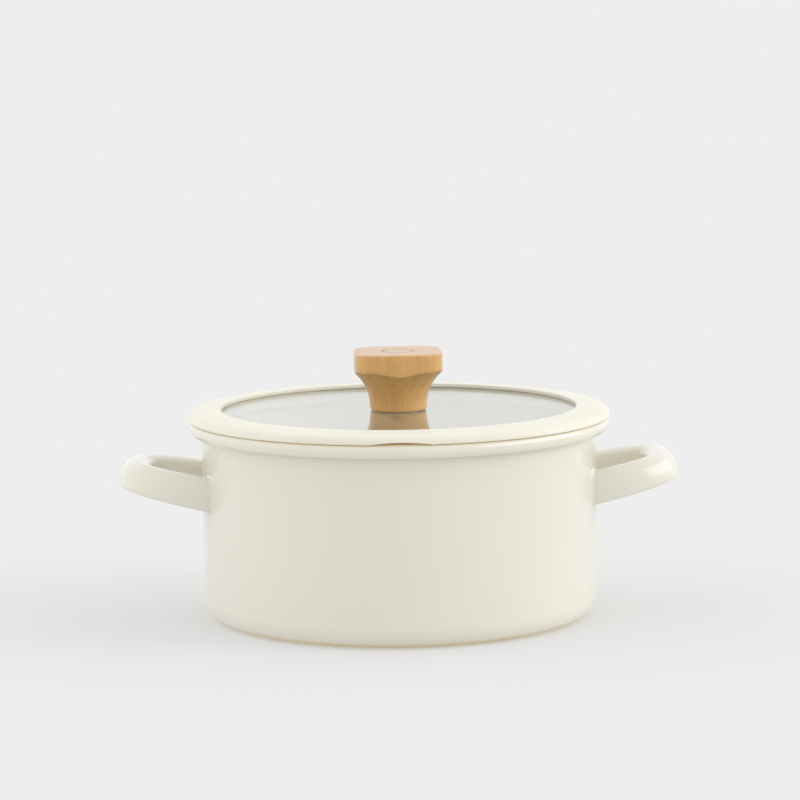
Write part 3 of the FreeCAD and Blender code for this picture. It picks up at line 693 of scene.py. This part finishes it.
def make_knob(beech):
    """The knob: turned foot and cove, head squared with rounded corners, all edges eased."""
    rows = []
    for angle in np.linspace(0, 2 * math.pi, AROUND, endpoint=False):
        c, s = math.cos(angle + HEAD_TURN), math.sin(angle + HEAD_TURN)
        rows.append([(r * c, r * s, z) for r, z in knob_column(head_radius(angle))])
    mesh = mesh_from_rows("beech_knob", rows, closed_across=False)
    return add_piece("beech_knob", mesh, "lid", beech, "lid_knob")


def dress(node_name, material):
    """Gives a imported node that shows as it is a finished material."""
    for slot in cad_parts[node_name].material_slots:
        slot.material = material


# Studio.

BACKGROUND = 0.855               # brightness of floor and backdrop
FLOOR_REACH, FLOOR_RINGS = 60.0, 5   # the floor's radius, and its rings of faces
FLOOR_DROP = 0.05 * MM           # how far the floor lies under the pot
# Brightness of the surroundings over that of the backdrop: even, towards the sides, above, behind.
EVEN, SIDES, ABOVE, BEHIND = 0.66, 1.40, 0.32, 0.45
MIRRORED = 1.18                  # the same where the surroundings are mirrored
KEY_ELEVATION = math.radians(24)
KEY_AZIMUTH = math.radians(-10)  # from +X, towards the front
KEY_SIZE = math.radians(26)
KEY_ON_FLOOR = 0.08              # key light on the floor, in the same measure
LIT_SHARE = 0.6                  # share of the floor's brightness that shadows can take away
SOFTBOX = 1.9                    # brightness of the key's softbox where it is mirrored
SOFTBOX_WIDE, SOFTBOX_TALL = math.tan(math.radians(35)), math.tan(math.radians(16))
# Light on the level floor: the mean of each term over the sky, weighted by the cosine.
FLOOR_LIGHT = EVEN + SIDES / 4 + ABOVE / 2 + BEHIND / 8 + KEY_ON_FLOOR


def make_floor():
    """A wide plain pale floor."""
    radii = [FLOOR_REACH * (ring / FLOOR_RINGS) ** 3 for ring in range(FLOOR_RINGS + 1)]
    rows = [[(r * math.cos(a), r * math.sin(a), -FLOOR_DROP) for r in radii]
            for a in np.linspace(0, 2 * math.pi, 96, endpoint=False)]
    mesh = mesh_from_rows("studio_floor", rows, closed_across=False)
    floor = bpy.data.objects.new("studio_floor", mesh)
    bpy.context.scene.collection.objects.link(floor)
    albedo = LIT_SHARE / FLOOR_LIGHT
    material = principled("matt_floor", {
        "Base Color": (albedo,) * 3 + (1,), "Roughness": 1.0, "Specular IOR Level": 0.0,
        "Emission Color": (1, 1, 1, 1), "Emission Strength": (1 - LIT_SHARE) * BACKGROUND})[0]
    mesh.materials.append(material)


def make_surroundings(away):
    """A plain backdrop that lights the object unevenly and mirrors a softbox in this direction."""
    world = bpy.data.worlds.new("studio")
    bpy.context.scene.world = world
    world.use_nodes = True
    tree = world.node_tree
    path = node(tree, "LightPath").outputs
    facing = node(tree, "TexCoord").outputs["Generated"]
    towards = node(tree, "SeparateXYZ", {"Vector": facing}).outputs
    light = EVEN
    for part, weight in ((towards[0], SIDES), (towards[2], ABOVE),
                         (maths(tree, "MAXIMUM", towards[1], 0.0), BEHIND)):
        squared = maths(tree, "MULTIPLY", maths(tree, "MULTIPLY", part, part), weight)
        light = maths(tree, "ADD", squared, light)
    across = Vector((-away.y, away.x, 0)).normalized()
    ahead, side, rise = [node(tree, "VectorMath", {0: facing, 1: tuple(axis)},
                              operation="DOT_PRODUCT").outputs["Value"]
                         for axis in (away, across, away.cross(across))]
    # the softbox is a rectangle with soft edges
    box = maths(tree, "GREATER_THAN", ahead, 0.0)
    for offset, half in ((side, SOFTBOX_WIDE), (rise, SOFTBOX_TALL)):
        off = maths(tree, "ABSOLUTE", maths(tree, "DIVIDE", offset, ahead))
        box = maths(tree, "MULTIPLY", box, spread(tree, off, 0.8 * half, 1.1 * half, 1.0, 0.0))
    mirrored = maths(tree, "ADD", maths(tree, "MULTIPLY", box, SOFTBOX), MIRRORED)
    change = maths(tree, "MULTIPLY", path["Is Glossy Ray"], maths(tree, "SUBTRACT", mirrored, light))
    light = maths(tree, "ADD", light, change)
    seen = maths(tree, "MULTIPLY", maths(tree, "SUBTRACT", 1.0, path["Is Camera Ray"]),
                 maths(tree, "SUBTRACT", light, 1.0))
    shader = tree.nodes["Background"]
    shader.inputs["Color"].default_value = (BACKGROUND,) * 3 + (1,)
    link(tree, shader.inputs["Strength"], maths(tree, "ADD", seen, 1.0))


def make_lights():
    """Soft surroundings, and a large soft key light from the right."""
    away = Vector((math.cos(KEY_ELEVATION) * math.cos(KEY_AZIMUTH),
                   math.cos(KEY_ELEVATION) * math.sin(KEY_AZIMUTH), math.sin(KEY_ELEVATION)))
    make_surroundings(away)
    key = bpy.data.lights.new("key", "SUN")
    key.angle = KEY_SIZE
    key.energy = KEY_ON_FLOOR * math.pi * BACKGROUND / math.sin(KEY_ELEVATION)
    lamp = bpy.data.objects.new("key", key)
    lamp.rotation_euler = away.to_track_quat("Z", "Y").to_euler()
    lamp.visible_glossy = False
    bpy.context.scene.collection.objects.link(lamp)


def make_camera():
    """The viewpoint: a little above the pot, almost square to the handles, with a long lens."""
    distance, height = 1.600, 0.3179
    heading, pitch, roll = math.radians(2.53), math.radians(7.42), math.radians(-0.75)
    stand = math.radians(2.5)
    forward = Vector((math.sin(heading) * math.cos(pitch), math.cos(heading) * math.cos(pitch),
                      -math.sin(pitch)))
    level = Vector((math.cos(heading), -math.sin(heading), 0))
    upright = level.cross(forward)
    right = math.cos(roll) * level + math.sin(roll) * upright
    up = math.cos(roll) * upright - math.sin(roll) * level
    data = bpy.data.cameras.new("camera")
    data.sensor_width, data.lens = 36.0, 142.1
    data.clip_end = 200.0
    camera = bpy.data.objects.new("camera", data)
    turn = Matrix((right, up, -forward)).transposed().to_4x4()
    place = Vector((-distance * math.sin(stand), -distance * math.cos(stand), height))
    camera.matrix_world = Matrix.Translation(place) @ turn
    bpy.context.scene.collection.objects.link(camera)
    bpy.context.scene.camera = camera


bpy.context.scene.view_settings.view_transform = "Standard"
make_camera()
make_floor()
make_lights()

enamel = make_enamel()
make_shell(enamel)
make_handle("left_handle_loop", -1, enamel)
make_handle("right_handle_loop", 1, enamel)
make_ring(make_silicone())
make_lid_glass(make_glass())
make_knob(make_beech())
dress("knob_insert", make_metal("turned_brass", (0.80, 0.58, 0.26), 0.24, 260.0))
steel = make_metal("bright_steel", (0.66, 0.66, 0.67), 0.20, 320.0)
dress("knob_screw", steel)
dress("cup_washer", steel)
seal = make_seal()
dress("screw_gasket", seal)
dress("knob_seal", seal)
